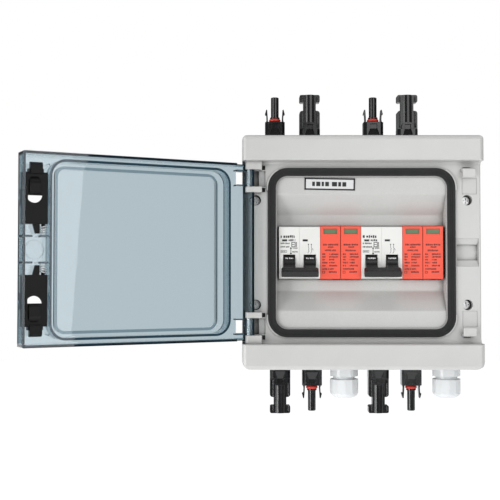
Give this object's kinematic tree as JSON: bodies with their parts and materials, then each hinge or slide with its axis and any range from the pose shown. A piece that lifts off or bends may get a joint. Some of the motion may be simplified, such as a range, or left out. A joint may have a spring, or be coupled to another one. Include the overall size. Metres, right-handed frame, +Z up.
{
  "type": "dc combiner box",
  "caption": "Wall-mounted DC combiner box with a clear latched door over railed breakers and surge arresters, plug connectors and cable glands through top and bottom.",
  "frame": {"origin": "centre of the flat back face, which lies against the wall", "axes": "+X to the right, +Y into the wall, +Z up; the door and devices face -Y"},
  "size_m": [0.3785, 0.1832, 0.2838],
  "materials": {
    "enclosure": "light grey moulded, fine satin texture",
    "smoked_door": "blue-grey tinted transparent polycarbonate, polished",
    "black_rubber": "soft black rubber",
    "latch_black": "black moulded, slight sheen",
    "spring_steel": "plain spring wire",
    "screw_steel": "zinc plated",
    "rail_steel": "zinc plated sheet",
    "label": "white printed label",
    "device_white": "white moulded device body",
    "device_grey": "light grey moulded base",
    "toggle_black": "black moulded toggles",
    "flag_green": "green indicator",
    "status_green": "green status flag",
    "terminal_metal": "plated clamps and screws",
    "clip_black": "black moulded slider",
    "cartridge_red": "coral red moulded",
    "connector_black": "black moulded, semi-gloss",
    "seal_red": "red sealing ring",
    "contact_tin": "tinned copper",
    "gland_white": "white nylon",
    "wire_red": "red insulation",
    "wire_black": "black insulation",
    "wire_earth": "green and yellow insulation"
  },
  "bodies": {
    "case": {"back_box": "enclosure", "front_cover": "enclosure", "cover_seal": "black_rubber", "cover_screws": "screw_steel", "door_gasket": "black_rubber", "hinge_pins": "screw_steel", "name_label": "label", "din_rail": "rail_steel", "rail_screws": "screw_steel", "breaker_1_housing": "device_white", "breaker_1_flags": "flag_green", "breaker_1_terminals": "terminal_metal", "breaker_2_housing": "device_white", "breaker_2_flags": "flag_green", "breaker_2_terminals": "terminal_metal", "surge_1_base": "device_grey", "surge_1_terminals": "terminal_metal", "surge_2_base": "device_grey", "surge_2_terminals": "terminal_metal", "outlet_1_plug": "connector_black", "outlet_1_socket": "connector_black", "outlet_2_plug": "connector_black", "outlet_2_socket": "connector_black", "inlet_1_socket": "connector_black", "inlet_1_plug": "connector_black", "inlet_2_socket": "connector_black", "inlet_2_plug": "connector_black", "connector_nuts": "connector_black", "connector_seals": "black_rubber", "plug_tip_seals": "seal_red", "contact_tubes": "contact_tin", "contact_pins": "contact_tin", "gland_bodies": "gland_white", "gland_caps": "gland_white", "gland_inserts": "black_rubber", "gland_locknuts": "gland_white", "wires_positive": "wire_red", "wires_negative": "wire_black", "wire_earth": "wire_earth"},
    "door": {"door": "smoked_door"},
    "latch_upper": {"latch_upper": "latch_black", "latch_spring_upper": "spring_steel"},
    "latch_lower": {"latch_lower": "latch_black", "latch_spring_lower": "spring_steel"},
    "breaker_1_toggle": {"breaker_1_toggle": "toggle_black"},
    "breaker_2_toggle": {"breaker_2_toggle": "toggle_black"},
    "surge_1_cartridge_left": {"surge_1_cartridge_left": "cartridge_red", "surge_1_flag_left": "status_green"},
    "surge_1_cartridge_right": {"surge_1_cartridge_right": "cartridge_red", "surge_1_flag_right": "status_green"},
    "surge_2_cartridge_left": {"surge_2_cartridge_left": "cartridge_red", "surge_2_flag_left": "status_green"},
    "surge_2_cartridge_right": {"surge_2_cartridge_right": "cartridge_red", "surge_2_flag_right": "status_green"},
    "breaker_1_rail_clip": {"breaker_1_rail_clip": "clip_black"},
    "breaker_2_rail_clip": {"breaker_2_rail_clip": "clip_black"},
    "surge_1_rail_clip": {"surge_1_rail_clip": "clip_black"},
    "surge_2_rail_clip": {"surge_2_rail_clip": "clip_black"}
  },
  "joints": [
    {"name": "door_hinge", "type": "hinge", "parent": "case", "child": "door", "pos_m": [-0.0974, -0.0859, 0], "axis": [0, 0, -1], "range_deg": [-152, 6]},
    {"name": "latch_upper_slide", "type": "slide", "parent": "door", "child": "latch_upper", "axis": [0, 0, -1], "range_m": [0, 0.005], "stiffness_N_per_m": 150, "springref_m": -0.004, "deforming": ["latch_spring_upper"]},
    {"name": "latch_lower_slide", "type": "slide", "parent": "door", "child": "latch_lower", "axis": [0, 0, 1], "range_m": [0, 0.005], "stiffness_N_per_m": 150, "springref_m": -0.004, "deforming": ["latch_spring_lower"]},
    {"name": "breaker_1_switching", "type": "hinge", "parent": "case", "child": "breaker_1_toggle", "pos_m": [-0.0534, -0.072, -0.0083], "axis": [-1, 0, 0], "range_deg": [0, 68]},
    {"name": "breaker_2_switching", "type": "hinge", "parent": "case", "child": "breaker_2_toggle", "pos_m": [0.0178, -0.072, -0.0083], "axis": [-1, 0, 0], "range_deg": [0, 68]},
    {"name": "surge_1_cartridge_left_pull", "type": "slide", "parent": "case", "child": "surge_1_cartridge_left", "axis": [0, -1, 0], "range_m": [0, 0.03]},
    {"name": "surge_1_cartridge_right_pull", "type": "slide", "parent": "case", "child": "surge_1_cartridge_right", "axis": [0, -1, 0], "range_m": [0, 0.03]},
    {"name": "surge_2_cartridge_left_pull", "type": "slide", "parent": "case", "child": "surge_2_cartridge_left", "axis": [0, -1, 0], "range_m": [0, 0.03]},
    {"name": "surge_2_cartridge_right_pull", "type": "slide", "parent": "case", "child": "surge_2_cartridge_right", "axis": [0, -1, 0], "range_m": [0, 0.03]},
    {"name": "breaker_1_rail_clip_pull", "type": "slide", "parent": "case", "child": "breaker_1_rail_clip", "axis": [0, 0, -1], "range_m": [0, 0.004], "stiffness_N_per_m": 800, "springref_m": -0.003},
    {"name": "breaker_2_rail_clip_pull", "type": "slide", "parent": "case", "child": "breaker_2_rail_clip", "axis": [0, 0, -1], "range_m": [0, 0.004], "stiffness_N_per_m": 800, "springref_m": -0.003},
    {"name": "surge_1_rail_clip_pull", "type": "slide", "parent": "case", "child": "surge_1_rail_clip", "axis": [0, 0, -1], "range_m": [0, 0.004], "stiffness_N_per_m": 800, "springref_m": -0.003},
    {"name": "surge_2_rail_clip_pull", "type": "slide", "parent": "case", "child": "surge_2_rail_clip", "axis": [0, 0, -1], "range_m": [0, 0.004], "stiffness_N_per_m": 800, "springref_m": -0.003}
  ]
}
